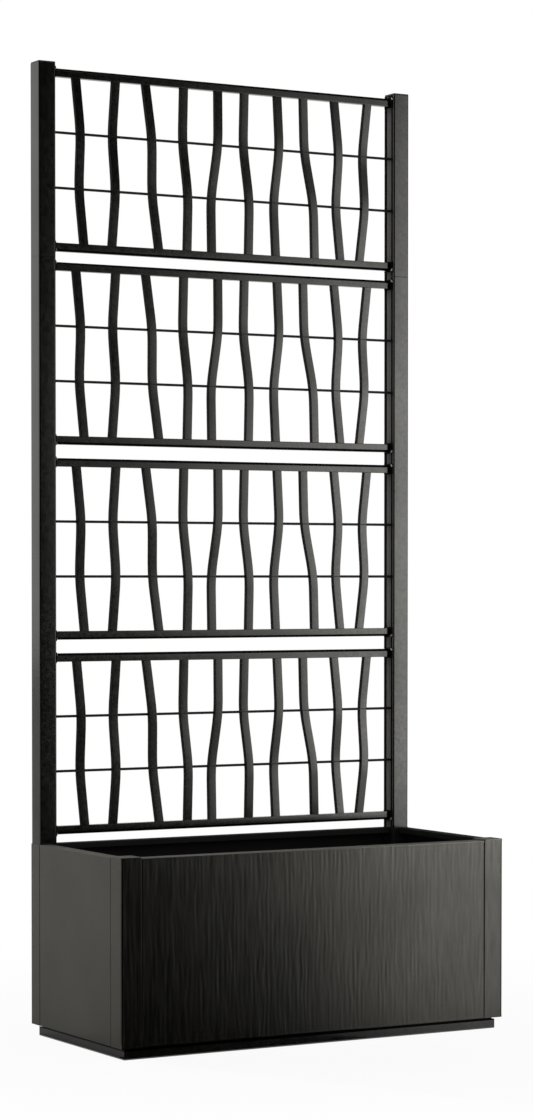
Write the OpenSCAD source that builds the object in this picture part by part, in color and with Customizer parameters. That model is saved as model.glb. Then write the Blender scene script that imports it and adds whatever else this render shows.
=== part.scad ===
// Rectangular outdoor planter with a four panel trellis on its rear corners.
// X runs along the planter's length, Y from its front to its rear and Z up. The origin is on the ground,
// under the middle of the box.

/* [Box] */
// Length of the box along X
box_w = 808; // [700:1:1000]
// Depth of the box along Y
box_d = 366; // [320:1:500]
// Height of the panels' top edge above the ground
panel_top = 356.5; // [300:0.5:450]
// Thickness of the folded sheet
sheet = 1.5; // [1:0.1:2]
// Width of the inward lip along each panel's top
lip_w = 25; // [20:1:32]
// Height of the lip's downward return
lip_return = 10; // [6:1:16]
// Width of the fold along each panel's bottom, which carries the floor
fold_w = 30; // [26:1:36]
// Depth of the folded ends of each panel
end_depth = 12; // [11:1:14]
// Width of the flange that meets a column's tongue
flange_w = 16; // [14:1:18]
// Visible joint between a panel and a column or a corner cover
joint_gap = 1; // [0.5:0.5:3]

/* [Columns and covers] */
// Side of a front corner column
column = 41; // [38:1:50]
// Wall of a front corner column
column_wall = 1.5; // [1:0.1:2]
// Length of the tongues that the front corner columns hold the panels by
tongue_w = 22; // [20:1:26]
// Thickness of a tongue
tongue_t = 2; // [1.5:0.1:3]
// Clearance of a tongue from the ends of its panel
tongue_clear = 8; // [6:1:20]
// Thickness of a column's cap
cap_t = 2; // [1:0.5:4]
// Depth of the plugs under the caps
plug_h = 10; // [6:1:16]
// Thickness of the rear corner covers
cover_t = 1.2; // [0.8:0.1:2]
// How far the rear corner covers rise past the panels
cover_rise = 0.5; // [0:0.5:2]

/* [Plinth and floor] */
// Height of the plinth
plinth_h = 21.5; // [18:0.5:40]
// How far the plinth stands back from the box
plinth_inset = 11; // [6:1:15]
// Depth of a plinth rail
plinth_rail = 20; // [19:1:24]
// Wall of a plinth rail
plinth_wall = 1.5; // [1:0.1:2]
// Height of the shadow gap above the plinth rails
shadow_h = 4.5; // [3:0.5:6]
// How far the shadow gap goes in
shadow_in = 4; // [3:0.5:5]
// Thickness of the floor panel
floor_t = 2; // [1.5:0.5:4]
// Gap between the floor and the walls, measured from the box's faces
floor_inset = 16; // [15:1:20]
// Clearance of the floor round the columns and the posts
floor_clear = 0.5; // [0.2:0.1:2]
// Diameter of a drain hole
drain_d = 12; // [8:1:16]
// Drain holes along the floor
drain_n = 4; // [2:1:6]

/* [Posts] */
// Overall height
total_h = 1800; // [1650:10:2100]
// Side of a trellis post
post = 35; // [33:1:40]
// Wall of a trellis post
post_wall = 1.5; // [1:0.1:2]
// Width of the channel in a post's inner face
channel_w = 15; // [13:0.5:17]
// Depth of that channel
channel_d = 8; // [6:0.5:10]
// Thickness of a post cap
post_cap_t = 3; // [2:0.5:5]
// Length of the inner sleeve between a lower and an upper post
sleeve_l = 120; // [80:5:160]
// Wall of the inner sleeve
sleeve_wall = 2; // [1.5:0.1:3]
// Clearance of a sleeve or a plug inside its tube
slide_fit = 0.2; // [0.1:0.05:0.3]

/* [Trellis] */
// Height of one trellis panel
trellis_h = 337; // [300:1:360]
// Gap between the box's panels and the lowest trellis panel
first_gap = 16.5; // [12:0.5:40]
// Gap between trellis panels
trellis_gap = 25; // [22:0.5:40]
// Gap below the top trellis panel, where the posts are joined
seam_gap = 19.5; // [19:0.5:40]
// Height of the posts' seam above the third panel
seam_rise = 7.5; // [6:0.5:12]
// Height of a rail
rail_h = 16; // [10:0.5:20]
// Depth of a rail
rail_d = 12; // [11:0.5:14]
// Wall of a rail
rail_wall = 1.2; // [1:0.1:1.5]
// Height of the rebate along a rail's outer front edge
rebate_h = 4; // [3:0.5:5]
// Depth of that rebate
rebate_d = 4; // [3:0.5:5]
// Width of a bar
bar_w = 16; // [10:0.5:20]
// Depth of a bar
bar_d = 9.5; // [8:0.5:12]
// How far the bars weave to the rear and to the front at the cross rods
bar_weave = 1.5; // [0:0.5:2.5]
// Length of the bend at each cross rod, to each side of it
bend_l = 28; // [10:1:35]
// Diameter of a cross rod
rod_d = 5; // [3:0.5:6]
// Distance of each cross rod from the outer edge of the nearer rail
rod_inset = 117.5; // [90:0.5:140]
// Clearance of a cross rod in its holes
rod_fit = 0.3; // [0.2:0.05:0.5]

/* [Collars and screws] */
// Thickness of a rail's end collar
collar_t = 1.5; // [1:0.5:3]
// Depth of an end collar along Y
collar_d = 31; // [30:0.5:33]
// Height of an end collar
collar_h = 20; // [18:0.5:22]
// Clearance of a rail in its collar
collar_fit = 0.3; // [0.2:0.05:0.4]
// Diameter of a collar screw's head
small_head_d = 5.5; // [5:0.1:6]
// Height of a collar screw's low head
small_head_h = 1; // [0.6:0.1:2]
// Diameter of a collar screw's shank
small_shank_d = 3; // [2.5:0.1:3.4]
// How far a collar screw passes the post's wall
small_shank_past = 2; // [1:0.5:4]
// Height of the collar screws above or below the middle of their rail
collar_screw_shift = 6; // [4:0.5:6.5]
// Diameter of a panel screw's head
panel_head_d = 7; // [6:0.1:8]
// Diameter of a panel screw's shank
panel_shank_d = 4; // [3:0.1:4.5]
// Length of a panel screw's shank
panel_shank_l = 8; // [6:0.5:9]
// Distance of the end screws from the ends of a panel
panel_screw_end = 50; // [30:1:80]
// Height of a screw's head
head_h = 2; // [1.5:0.1:3]
// Clearance of a screw's shank in its holes
screw_fit = 0.2; // [0.1:0.05:0.4]
// Diameter of a base screw's head
base_head_d = 9; // [8:0.1:10]
// Diameter of a base screw's shank
base_shank_d = 5; // [4:0.1:6]
// Distance of the base screws from the box's corners
base_screw_end = 110; // [80:1:130]

/* [Hidden] */

graphite = "#4a4a47";
dark_graphite = "#2f2f2e";
coal = "#1c1c1c";
steel = "#b9bbbd";

half_w = box_w / 2;
half_d = box_d / 2;
tray_h = panel_top - plinth_h;
round_fn = 48;
over = 1;

// Posts stand inside the covers, flush with the covers' inner faces
post_out = half_w - cover_t;
post_in = post_out - post;
post_rear = half_d - cover_t;
post_front = post_rear - post;
post_mid = post_rear - post / 2;
lip_land = (post - channel_w) / 2;
channel_floor = post_in + channel_d;

// Trellis panels from the lowest to the highest, by the height of their lower edge
trellis_z = [for (k = [0:3]) panel_top + first_gap + k * (trellis_h + trellis_gap)
             + (k == 3 ? seam_gap - trellis_gap : 0)];
seam_z = trellis_z[2] + trellis_h + seam_rise;
post_top = total_h - post_cap_t;
rod_z = [rod_inset, trellis_h - rod_inset];

// Sway of each bar from its even place, from left to right: at the bottom edge, the lower rod, the upper
// rod and the top edge of its trellis panel
BAR_SWAY = [[0, -10, -9, -19], [-10.5, -3, -7.5, -1], [24, 9.5, 7, -7.5], [16, 17, 8, 9], [2.5, 2.5, 15, 16],
            [16, 16.5, 6, 7], [10, 6, 16, 12], [30.5, 25.5, 8, 3], [22.5, 12, 16, 5.5], [-3.5, 9, 6, 17]];
bar_pitch = 2 * post_in / (len(BAR_SWAY) + 1);
bend_steps = 6;

// Heights of the screws that hold a panel's ends
screw_z = [plinth_h + panel_screw_end, plinth_h + tray_h / 2, panel_top - panel_screw_end];
screw_in = lip_land / 2;

// One folded sheet tray, its outer face on the plane v = 0, with v inward
module tray(length, with_flanges) {
    translate([-length / 2, 0, 0]) {
        cube([length, sheet, tray_h]);
        translate([0, 0, tray_h - sheet])
            cube([length, lip_w, sheet]);
        translate([0, lip_w - sheet, tray_h - lip_return])
            cube([length, sheet, lip_return]);
        cube([length, fold_w, sheet]);
    }
    for (end = [0, 1])
        mirror([end, 0, 0])
            translate([-length / 2, 0, 0]) {
                cube([sheet, end_depth, tray_h]);
                if (with_flanges[end])
                    translate([0, end_depth - sheet, 0])
                        cube([flange_w, sheet, tray_h]);
            }
}

// Holes along Y through a panel's flanges, or a column's tongues, at the screws' heights
module screw_row_y(x, y, depth, diameter) {
    for (z = screw_z)
        translate([x, y, z])
            rotate([-90, 0, 0])
                cylinder(h = depth, d = diameter, $fn = round_fn);
}

// The same along X
module screw_row_x(x, y, depth, diameter) {
    for (z = screw_z)
        translate([x, y, z])
            rotate([0, 90, 0])
                cylinder(h = depth, d = diameter, $fn = round_fn);
}

front_length = box_w - 2 * (column + joint_gap);
rear_length = 2 * post_in;
side_front = -half_d + column + joint_gap;
side_length = post_front - side_front;
side_mid = (post_front + side_front) / 2;
flange_screw = joint_gap + flange_w / 2;
hole_d = panel_shank_d + screw_fit;

// Base screws along the front and rear, and along the sides, by their place on the rail
base_in = plinth_inset + shadow_in + (plinth_rail - shadow_in) / 2;
base_x = [for (s = [-1, 0, 1]) s * (half_w - base_screw_end)];
base_y = [for (s = [-1, 1]) s * (half_d - base_screw_end)];

module base_holes(depth, from_z, diameter) {
    for (x = base_x, side = [-1, 1])
        translate([x, side * (half_d - base_in), from_z])
            cylinder(h = depth, d = diameter, $fn = round_fn);
    for (y = base_y, side = [-1, 1])
        translate([side * (half_w - base_in), y, from_z])
            cylinder(h = depth, d = diameter, $fn = round_fn);
}

module front_panel() {
    color(dark_graphite)
        difference() {
            translate([0, -half_d, plinth_h])
                tray(front_length, [true, true]);
            for (side = [-1, 1])
                screw_row_y(side * (front_length / 2 + joint_gap - flange_screw), -half_d + sheet + over,
                            end_depth, hole_d);
            base_holes(plinth_h, plinth_h / 2, base_shank_d + screw_fit);
        }
}

module rear_panel() {
    color(graphite)
        difference() {
            translate([0, half_d, plinth_h])
                rotate([0, 0, 180])
                    tray(rear_length, [false, false]);
            for (side = [-1, 1])
                screw_row_x(side * (post_in - sheet / 2) - sheet, post_rear - screw_in, 2 * sheet, hole_d);
            base_holes(plinth_h, plinth_h / 2, base_shank_d + screw_fit);
        }
}

// The left panel, and the right one as its mirror image
module side_panel() {
    difference() {
        translate([-half_w, side_mid, plinth_h])
            rotate([0, 0, -90])
                tray(side_length, [false, true]);
        screw_row_x(-half_w + sheet + over, side_front - joint_gap + flange_screw, end_depth, hole_d);
        screw_row_y(-half_w + end_depth - screw_in, post_front - 2 * sheet, 3 * sheet, hole_d);
        base_holes(plinth_h, plinth_h / 2, base_shank_d + screw_fit);
    }
}

module left_panel() {
    color(graphite)
        side_panel();
}

module right_panel() {
    color(graphite)
        mirror([1, 0, 0])
            side_panel();
}

// Front left column: a square tube with a tongue behind the front panel and one behind the side panel
module front_column() {
    tongue_h = tray_h - 2 * tongue_clear;
    translate([-half_w, -half_d, 0])
        difference() {
            union() {
                translate([0, 0, plinth_h])
                    cube([column, column, tray_h]);
                translate([column - over, end_depth, plinth_h + tongue_clear])
                    cube([tongue_w + over, tongue_t, tongue_h]);
                translate([end_depth, column - over, plinth_h + tongue_clear])
                    cube([tongue_t, tongue_w + over, tongue_h]);
            }
            translate([column_wall, column_wall, 0])
                cube([column - 2 * column_wall, column - 2 * column_wall, panel_top + over]);
            screw_row_y(column + flange_screw, end_depth - over, tongue_t + 2 * over, hole_d);
            screw_row_x(end_depth - over, column + flange_screw, tongue_t + 2 * over, hole_d);
        }
}

module front_left_column() {
    color(graphite)
        front_column();
}

module front_right_column() {
    color(graphite)
        mirror([1, 0, 0])
            front_column();
}

// A cap of the given side and thickness with a plug below it
module plug_cap(side, thick, wall) {
    plug = side - 2 * wall - 2 * slide_fit;
    cube([side, side, thick]);
    translate([wall + slide_fit, wall + slide_fit, -plug_h])
        cube([plug, plug, plug_h]);
}

module front_left_column_cap() {
    color(graphite)
        translate([-half_w, -half_d, panel_top])
            plug_cap(column, cap_t, column_wall);
}

module front_right_column_cap() {
    color(graphite)
        translate([half_w - column, -half_d, panel_top])
            plug_cap(column, cap_t, column_wall);
}

// Thin angle round the foot of the left post
module corner_cover() {
    cover_h = tray_h + cover_rise;
    side_leg = half_d - post_front - joint_gap;
    rear_leg = half_w - post_in - joint_gap;
    translate([-half_w, half_d, plinth_h]) {
        translate([0, -side_leg, 0])
            cube([cover_t, side_leg, cover_h]);
        translate([0, -cover_t, 0])
            cube([rear_leg, cover_t, cover_h]);
    }
}

module rear_left_cover() {
    color(graphite)
        corner_cover();
}

module rear_right_cover() {
    color(graphite)
        mirror([1, 0, 0])
            corner_cover();
}

// Section of a plinth rail: depth along X, height along Y, with the shadow gap's step, inset by wall
function plinth_section(wall) =
    let (step = plinth_h - shadow_h)
    [[wall, wall], [plinth_rail - wall, wall], [plinth_rail - wall, plinth_h - wall],
     [shadow_in + wall, plinth_h - wall], [shadow_in + wall, step - wall], [wall, step - wall]];

// A plinth rail along X from its middle, its outer face on the plane v = 0, with v inward.
// Its ends are mitred.
module plinth_rail_along(length) {
    intersection() {
        rotate([90, 0, 90])
            translate([0, 0, -length / 2])
                linear_extrude(height = length)
                    difference() {
                        polygon(plinth_section(0));
                        polygon(plinth_section(plinth_wall));
                    }
        linear_extrude(height = plinth_h)
            polygon([[-length / 2, 0], [length / 2, 0],
                     [length / 2 - plinth_rail, plinth_rail], [plinth_rail - length / 2, plinth_rail]]);
    }
}

module plinth_front() {
    color(coal)
        difference() {
            translate([0, -half_d + plinth_inset, 0])
                plinth_rail_along(box_w - 2 * plinth_inset);
            base_holes(plinth_h, plinth_h - plinth_wall - over, base_shank_d + screw_fit);
        }
}

module plinth_rear() {
    color(coal)
        difference() {
            translate([0, half_d - plinth_inset, 0])
                rotate([0, 0, 180])
                    plinth_rail_along(box_w - 2 * plinth_inset);
            base_holes(plinth_h, plinth_h - plinth_wall - over, base_shank_d + screw_fit);
        }
}

module plinth_side() {
    difference() {
        translate([-half_w + plinth_inset, 0, 0])
            rotate([0, 0, -90])
                plinth_rail_along(box_d - 2 * plinth_inset);
        base_holes(plinth_h, plinth_h - plinth_wall - over, base_shank_d + screw_fit);
    }
}

module plinth_left() {
    color(coal)
        plinth_side();
}

module plinth_right() {
    color(coal)
        mirror([1, 0, 0])
            plinth_side();
}

module floor_panel() {
    floor_z = plinth_h + sheet;
    floor_w = box_w - 2 * floor_inset;
    floor_d = box_d - 2 * floor_inset;
    drain_w = floor_w / (drain_n + 1);
    color(graphite)
        difference() {
            translate([-floor_w / 2, -floor_d / 2, floor_z])
                cube([floor_w, floor_d, floor_t]);
            for (side = [-1, 1]) {
                // Notches for the columns and for the posts
                translate([side * half_w, -half_d, floor_z + floor_t / 2])
                    cube([2 * (column + floor_clear), 2 * (column + floor_clear), 2 * floor_t],
                         center = true);
                translate([side * half_w, half_d, floor_z + floor_t / 2])
                    cube([2 * (half_w - post_in + floor_clear), 2 * (half_d - post_front + floor_clear),
                          2 * floor_t], center = true);
            }
            for (i = [1:drain_n], side = [-1, 1])
                translate([-floor_w / 2 + i * drain_w, side * floor_d / 4, floor_z - over])
                    cylinder(h = floor_t + 2 * over, d = drain_d, $fn = round_fn);
            base_holes(2 * plinth_h, plinth_h / 2, base_shank_d + screw_fit);
        }
}

// Section of the left post, its outer rear corner at the origin, X inward and Y forward
module post_section() {
    cavity = post - 2 * post_wall;
    difference() {
        square(post);
        translate([post - channel_d, lip_land])
            square([channel_d + over, channel_w]);
        difference() {
            translate([post_wall, post_wall])
                square(cavity);
            translate([post - channel_d - post_wall, lip_land - post_wall])
                square([channel_d + 2 * post_wall, channel_w + 2 * post_wall]);
        }
    }
}

// The left post from one height to another
module post_length(from_z, to_z) {
    difference() {
        translate([-post_out, post_rear, from_z])
            mirror([0, 1, 0])
                linear_extrude(height = to_z - from_z)
                    post_section();
        collar_screws_at(-1, small_shank_d + screw_fit, 0);
        sleeve_screws_at(-1, hole_d);
        screw_row_y(-half_w + end_depth - screw_in, post_front - sheet, 3 * sheet, hole_d);
        screw_row_x(-post_in - 2 * post_wall, post_rear - screw_in, 3 * post_wall, hole_d);
    }
}

module left_lower_post() {
    color(graphite)
        post_length(plinth_h, seam_z);
}

module right_lower_post() {
    color(graphite)
        mirror([1, 0, 0])
            post_length(plinth_h, seam_z);
}

module left_upper_post() {
    color(graphite)
        post_length(seam_z, post_top);
}

module right_upper_post() {
    color(graphite)
        mirror([1, 0, 0])
            post_length(seam_z, post_top);
}

// Inner sleeve behind the channel, across the seam
sleeve_w = post - channel_d - 2 * post_wall - 2 * slide_fit;
sleeve_d = post - 2 * post_wall - 2 * slide_fit;

module post_sleeve() {
    difference() {
        translate([-post_out + post_wall + slide_fit, post_front + post_wall + slide_fit,
                   seam_z - sleeve_l / 2])
            difference() {
                cube([sleeve_w, sleeve_d, sleeve_l]);
                translate([sleeve_wall, sleeve_wall, -over])
                    cube([sleeve_w - 2 * sleeve_wall, sleeve_d - 2 * sleeve_wall, sleeve_l + 2 * over]);
            }
        sleeve_screws_at(-1, hole_d);
    }
}

module left_post_sleeve() {
    color(steel)
        post_sleeve();
}

module right_post_sleeve() {
    color(steel)
        mirror([1, 0, 0])
            post_sleeve();
}

module post_cap() {
    translate([-post_out, post_front, post_top]) {
        cube([post, post, post_cap_t]);
        translate([post_wall + slide_fit, post_wall + slide_fit, -plug_h])
            cube([sleeve_w, sleeve_d, plug_h]);
    }
}

module left_post_cap() {
    color(coal)
        post_cap();
}

module right_post_cap() {
    color(coal)
        mirror([1, 0, 0])
            post_cap();
}

// Section of a top rail: depth along X, height along Y, its outer front edge rebated, inset by wall
function rail_section(wall) =
    [[wall, wall], [rail_d - wall, wall], [rail_d - wall, rail_h - wall], [rebate_d + wall, rail_h - wall],
     [rebate_d + wall, rail_h - rebate_h - wall], [wall, rail_h - rebate_h - wall]];
rail_front = post_mid - rail_d / 2;
rail_l = 2 * (channel_floor - collar_fit);

module top_rail(k) {
    color(graphite)
        translate([0, rail_front, trellis_z[k] + trellis_h - rail_h])
            rotate([90, 0, 90])
                translate([0, 0, -rail_l / 2])
                    linear_extrude(height = rail_l)
                        difference() {
                            polygon(rail_section(0));
                            polygon(rail_section(rail_wall));
                        }
}

module bottom_rail(k) {
    translate([0, 0, 2 * trellis_z[k] + trellis_h])
        mirror([0, 0, 1])
            top_rail(k);
}

// Points of a bar's centre line from the bottom rail to the top rail: straight between the rods, with a
// soft bend at each rod
function blend(a, b, t) = a + (b - a) * t;
function bend_points(before, knot, after) =
    let (start = knot + (before - knot) * bend_l / (knot[1] - before[1]),
         end = knot + (after - knot) * bend_l / (after[1] - knot[1]))
    [for (i = [0:bend_steps])
        let (t = i / bend_steps)
        blend(blend(start, knot, t), blend(knot, end, t), t)];
function bar_line(knot) =
    concat([blend(knot[0], knot[1], rail_h / rod_inset)],
           bend_points(knot[0], knot[1], knot[2]),
           bend_points(knot[1], knot[2], knot[3]),
           [blend(knot[3], knot[2], rail_h / rod_inset)]);
knot_z = [0, rod_z[0], rod_z[1], trellis_h];
function sway_line(i) =
    let (middle = (i - (len(BAR_SWAY) - 1) / 2) * bar_pitch)
    bar_line([for (j = [0:3]) [middle + BAR_SWAY[i][j], knot_z[j]]]);

// Every other bar passes to the rear of its middle plane at the lower rod and to the front of it at the
// upper rod, and the bars between them the other way round. All the bars stand on the middle of the rails
function weave_line(i) =
    let (way = i % 2 == 0 ? 1 : -1,
         foot = -way * bar_weave * rail_h / (rod_inset - rail_h))
    bar_line([for (j = [0:3]) [[foot, way * bar_weave, -way * bar_weave, -foot][j], knot_z[j]]]);

module ribbon(line, width) {
    last = len(line) - 1;
    polygon(concat([for (p = line) p - [width / 2, 0]],
                   [for (j = [last:-1:0]) line[j] + [width / 2, 0]]));
}

module bars(k) {
    color(graphite)
        difference() {
            translate([0, post_mid, trellis_z[k]])
                for (i = [0:len(BAR_SWAY) - 1])
                    intersection() {
                        rotate([90, 0, 0])
                            linear_extrude(height = post, center = true)
                                ribbon(sway_line(i), bar_w);
                        rotate([90, 0, 90])
                            linear_extrude(height = box_w, center = true)
                                ribbon(weave_line(i), bar_d);
                    }
            rods_at(k, rod_d + rod_fit);
        }
}

module rods_at(k, diameter) {
    for (z = rod_z)
        translate([-rail_l / 2, post_mid, trellis_z[k] + z])
            rotate([0, 90, 0])
                cylinder(h = rail_l, d = diameter, $fn = round_fn);
}

module rods(k) {
    color(dark_graphite)
        rods_at(k, rod_d);
}

// Middle heights of the rails, with the side on which each rail's outer edge lies
rail_places = [for (z = trellis_z, side = [-1, 1])
               [z + trellis_h / 2 + side * (trellis_h - rail_h) / 2, side]];

module collars() {
    window = [collar_t + 2 * over, rail_d + 2 * collar_fit, rail_h + 2 * collar_fit];
    difference() {
        for (place = rail_places)
            translate([-post_in + collar_t / 2, post_mid, place[0]])
                difference() {
                    cube([collar_t, collar_d, collar_h], center = true);
                    cube(window, center = true);
                }
        collar_screws_at(-1, small_shank_d + screw_fit, 0);
    }
}

module left_collars() {
    color(coal)
        collars();
}

module right_collars() {
    color(coal)
        mirror([1, 0, 0])
            collars();
}

// Collar screws on one side, two a collar, through its lands into the post's. Heads of height zero leave
// only the shanks
module collar_screws_at(side, shank_d, head) {
    shank_l = collar_t + post_wall + small_shank_past;
    for (place = rail_places, land = [-1, 1])
        translate([side * (post_in - collar_t), post_mid + land * (channel_w + lip_land) / 2,
                   place[0] + place[1] * collar_screw_shift])
            rotate([0, side * 90, 0]) {
                cylinder(h = shank_l, d = shank_d, $fn = round_fn);
                if (head > 0)
                    translate([0, 0, -head])
                        cylinder(h = head, d = small_head_d, $fn = round_fn);
            }
}

module collar_screws() {
    color(steel)
        for (side = [-1, 1])
            collar_screws_at(side, small_shank_d, small_head_h);
}

// Sleeve screws on one side, from the rear, one below and one above the seam. Their low heads lie flush
// with the corner covers
module sleeve_screws_at(side, shank_d) {
    for (dz = [-1, 1])
        translate([side * (post_out - post_wall - slide_fit - sleeve_w / 2), post_rear,
                   seam_z + dz * sleeve_l / 4])
            rotate([90, 0, 0])
                cylinder(h = panel_shank_l, d = shank_d, $fn = round_fn);
}

module sleeve_screws() {
    color(steel)
        for (side = [-1, 1]) {
            sleeve_screws_at(side, panel_shank_d);
            for (dz = [-1, 1])
                translate([side * (post_out - post_wall - slide_fit - sleeve_w / 2), half_d,
                           seam_z + dz * sleeve_l / 4])
                    rotate([90, 0, 0])
                        cylinder(h = cover_t, d = panel_head_d, $fn = round_fn);
        }
}

// A panel screw with its head's underside at the origin and its shank along +Z
module panel_screw() {
    cylinder(h = panel_shank_l, d = panel_shank_d, $fn = round_fn);
    translate([0, 0, -head_h])
        cylinder(h = head_h, d = panel_head_d, $fn = round_fn);
}

module panel_screws() {
    color(steel)
        for (side = [0, 1])
            mirror([side, 0, 0])
                for (z = screw_z) {
                    translate([-half_w + column + flange_screw, -half_d + end_depth + tongue_t, z])
                        rotate([90, 0, 0])
                            panel_screw();
                    translate([-half_w + end_depth + tongue_t, -half_d + column + flange_screw, z])
                        rotate([0, -90, 0])
                            panel_screw();
                    translate([-half_w + end_depth - screw_in, post_front - sheet, z])
                        rotate([-90, 0, 0])
                            panel_screw();
                    translate([-post_in + sheet, post_rear - screw_in, z])
                        rotate([0, -90, 0])
                            panel_screw();
                }
}

module base_screws() {
    head_z = plinth_h + sheet + floor_t;
    color(steel) {
        base_holes(head_z - plinth_h / 2, plinth_h / 2, base_shank_d);
        base_holes(head_h, head_z, base_head_d);
    }
}

plinth_front();
plinth_rear();
plinth_left();
plinth_right();
floor_panel();
front_panel();
rear_panel();
left_panel();
right_panel();
front_left_column();
front_right_column();
front_left_column_cap();
front_right_column_cap();
rear_left_cover();
rear_right_cover();
left_lower_post();
right_lower_post();
left_upper_post();
right_upper_post();
left_post_sleeve();
right_post_sleeve();
left_post_cap();
right_post_cap();
for (k = [1:4]) {
    top_rail(k - 1);
    bottom_rail(k - 1);
    bars(k - 1);
    rods(k - 1);
}
left_collars();
right_collars();
collar_screws();
sleeve_screws();
panel_screws();
base_screws();
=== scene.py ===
import math

import bmesh
import bpy
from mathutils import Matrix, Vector, noise


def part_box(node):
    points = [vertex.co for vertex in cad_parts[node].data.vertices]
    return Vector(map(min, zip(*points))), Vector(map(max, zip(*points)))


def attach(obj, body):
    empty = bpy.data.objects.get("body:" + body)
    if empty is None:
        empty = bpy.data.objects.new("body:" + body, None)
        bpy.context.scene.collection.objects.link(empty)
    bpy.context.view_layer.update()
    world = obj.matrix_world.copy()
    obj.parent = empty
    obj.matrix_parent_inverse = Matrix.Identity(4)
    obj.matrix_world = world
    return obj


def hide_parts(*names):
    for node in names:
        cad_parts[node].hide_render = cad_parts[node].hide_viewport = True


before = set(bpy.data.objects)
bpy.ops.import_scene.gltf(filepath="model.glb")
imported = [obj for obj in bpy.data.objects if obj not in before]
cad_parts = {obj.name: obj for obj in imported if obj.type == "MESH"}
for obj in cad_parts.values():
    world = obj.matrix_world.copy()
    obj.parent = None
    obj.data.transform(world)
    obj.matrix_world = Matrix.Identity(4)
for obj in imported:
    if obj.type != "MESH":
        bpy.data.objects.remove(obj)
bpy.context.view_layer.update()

# Camera
# It stands to the left of the planter's front, a little under a metre up, and looks almost level. Its place,
# lens and shift were fitted to the edges in the photograph.
CAMERA_AT = (-2.843, -4.933, 0.852)
CAMERA_YAW = 0.5221
CAMERA_PITCH = 0.0272
CAMERA_LENS = 97.98
CAMERA_SHIFT = 0.089
SENSOR = 36
NEAREST, FARTHEST = 0.05, 60

bpy.ops.object.select_all(action="DESELECT")
bpy.ops.object.camera_add(location=CAMERA_AT, rotation=(math.pi / 2 - CAMERA_PITCH, 0, -CAMERA_YAW))
camera = bpy.context.object
camera.name = "photo_camera"
camera.data.sensor_fit = "VERTICAL"
camera.data.sensor_height = SENSOR
camera.data.lens = CAMERA_LENS
camera.data.shift_y = CAMERA_SHIFT
camera.data.clip_start = NEAREST
camera.data.clip_end = FARTHEST
bpy.context.scene.camera = camera
bpy.context.scene.view_settings.view_transform = "Standard"

# Plinth
# Four rails of stepped steel tube under the box, set back from its faces. The step along their top makes the
# shadow line. They are screwed up into the panels' folds and finished in dark satin powder coat. The step and a
# narrow line under it have painted shade: the coat's colour turns black there.
PLINTH_COLOUR = (0.103, 0.1018, 0.0983)
SHADE_FADE_FROM = 0.0148
SHADE_FADE_TO = 0.0151
SHADE_BLACK_SHARE = 0.04
SATIN = 0.2
CLOUD_SCALE = 7
CLOUD_TONE = 0.1
NOISE_LOW, NOISE_HIGH = 0.3, 0.7
GLOSS_SCALE = 160
GLOSS_SPREAD = 0.04
PEEL_SCALE = 620
PEEL_DEPTH = 0.00002


def add_node(tree, kind, inputs=None, **settings):
    """Adds a shader node. A socket among the inputs is linked, and anything else is set as a value."""
    node = tree.nodes.new(kind)
    for name, value in settings.items():
        setattr(node, name, value)
    for name, value in (inputs or {}).items():
        if isinstance(value, bpy.types.NodeSocket):
            tree.links.new(value, node.inputs[name])
        else:
            node.inputs[name].default_value = value
    return node


def spread(tree, noise_value, low, high):
    """Spreads what a noise texture gives over the range from low to high."""
    return add_node(tree, "ShaderNodeMapRange", {"Value": noise_value, "From Min": NOISE_LOW, "To Min": low,
                                                 "From Max": NOISE_HIGH, "To Max": high}).outputs["Result"]


def powder_coat(name, colour, metallic, roughness, shine=0.5):
    """Baked powder coat: a faint cloudiness, an uneven gloss and a fine orange peel."""
    coat = bpy.data.materials.new(name)
    coat.use_nodes = True
    tree = coat.node_tree
    shader = tree.nodes["Principled BSDF"]
    shader.inputs["Metallic"].default_value = metallic
    shader.inputs["Specular IOR Level"].default_value = shine
    place = add_node(tree, "ShaderNodeTexCoord").outputs["Object"]
    cloud = add_node(tree, "ShaderNodeTexNoise", {"Vector": place, "Scale": CLOUD_SCALE, "Detail": 5})
    tone = add_node(tree, "ShaderNodeValToRGB", {"Fac": cloud.outputs["Fac"]})
    for stop, at, share in zip(tone.color_ramp.elements, (NOISE_LOW, NOISE_HIGH), (1 - CLOUD_TONE, 1 + CLOUD_TONE)):
        stop.position = at
        stop.color = [share * c for c in colour] + [1]
    tree.links.new(tone.outputs["Color"], shader.inputs["Base Color"])
    gloss = add_node(tree, "ShaderNodeTexNoise", {"Vector": place, "Scale": GLOSS_SCALE, "Detail": 3})
    rough = spread(tree, gloss.outputs["Fac"], roughness - GLOSS_SPREAD, roughness + GLOSS_SPREAD)
    tree.links.new(rough, shader.inputs["Roughness"])
    skin = add_node(tree, "ShaderNodeTexNoise", {"Vector": place, "Scale": PEEL_SCALE, "Detail": 2})
    bump = add_node(tree, "ShaderNodeBump", {"Height": skin.outputs["Fac"], "Strength": 0.3,
                                             "Distance": PEEL_DEPTH})
    tree.links.new(bump.outputs["Normal"], shader.inputs["Normal"])
    return coat


def scale_colour(coat, share):
    """Multiplies a coat's colour by a share that changes from place to place."""
    tree = coat.node_tree
    colour = tree.nodes["Principled BSDF"].inputs["Base Color"]
    tone = add_node(tree, "ShaderNodeVectorMath", {0: colour.links[0].from_socket, "Scale": share},
                    operation="SCALE")
    tree.links.new(tone.outputs["Vector"], colour)


def finish_node(node, material):
    """Gives a CAD node its finish."""
    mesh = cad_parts[node].data
    mesh.materials.clear()
    mesh.materials.append(material)


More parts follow.
